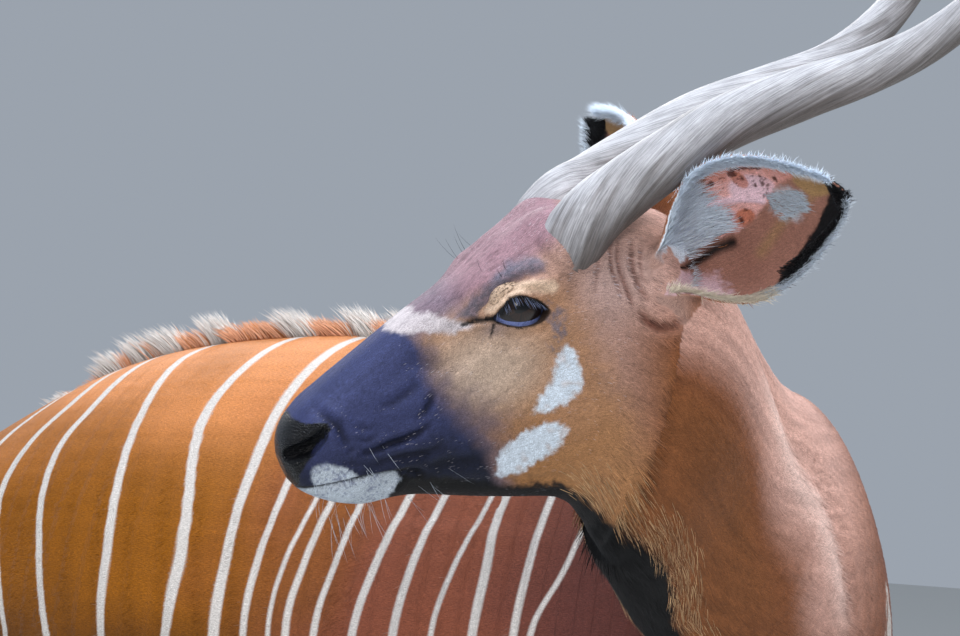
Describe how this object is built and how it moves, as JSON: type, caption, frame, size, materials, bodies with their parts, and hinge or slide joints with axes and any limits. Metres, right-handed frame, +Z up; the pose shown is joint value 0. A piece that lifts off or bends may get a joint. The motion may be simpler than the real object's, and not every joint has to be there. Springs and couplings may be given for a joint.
{
  "type": "bongo antelope model",
  "caption": "Life-size standing bongo antelope looking back over its right side: spiral horns, cupped ears, striped coat, crest along the back, tufted tail and cloven hooves.",
  "frame": {"origin": "on the floor under the middle of the whole animal's box", "axes": "+X from the tail towards the chest, +Y to the animal's left, +Z up; the neck turns to the animal's right (-Y) and the head looks back"},
  "size_m": [1.7863, 0.8954, 1.7997],
  "materials": {
    "coat": "short chestnut hair with white stripes",
    "dark_coat": "short dark hair with pale patches",
    "horn": "grey-brown horn with long grain",
    "hoof": "smooth dark horn",
    "eye": "wet dark brown"
  },
  "bodies": {
    "root": {"head": "coat", "neck": "coat", "forequarters": "coat", "barrel": "coat", "hindquarters": "coat", "tail": "coat", "ear_left": "coat", "horn_left": "horn", "eye_left": "eye", "ear_right": "coat", "horn_right": "horn", "eye_right": "eye", "upper_leg_fore_left": "dark_coat", "cannon_fore_left": "dark_coat", "pastern_fore_left": "dark_coat", "claw_outer_fore_left": "hoof", "dewclaw_outer_fore_left": "hoof", "claw_inner_fore_left": "hoof", "dewclaw_inner_fore_left": "hoof", "upper_leg_fore_right": "dark_coat", "cannon_fore_right": "dark_coat", "pastern_fore_right": "dark_coat", "claw_outer_fore_right": "hoof", "dewclaw_outer_fore_right": "hoof", "claw_inner_fore_right": "hoof", "dewclaw_inner_fore_right": "hoof", "upper_leg_hind_left": "dark_coat", "cannon_hind_left": "dark_coat", "pastern_hind_left": "dark_coat", "claw_outer_hind_left": "hoof", "dewclaw_outer_hind_left": "hoof", "claw_inner_hind_left": "hoof", "dewclaw_inner_hind_left": "hoof", "upper_leg_hind_right": "dark_coat", "cannon_hind_right": "dark_coat", "pastern_hind_right": "dark_coat", "claw_outer_hind_right": "hoof", "dewclaw_outer_hind_right": "hoof", "claw_inner_hind_right": "hoof", "dewclaw_inner_hind_right": "hoof"}
  },
  "joints": []
}
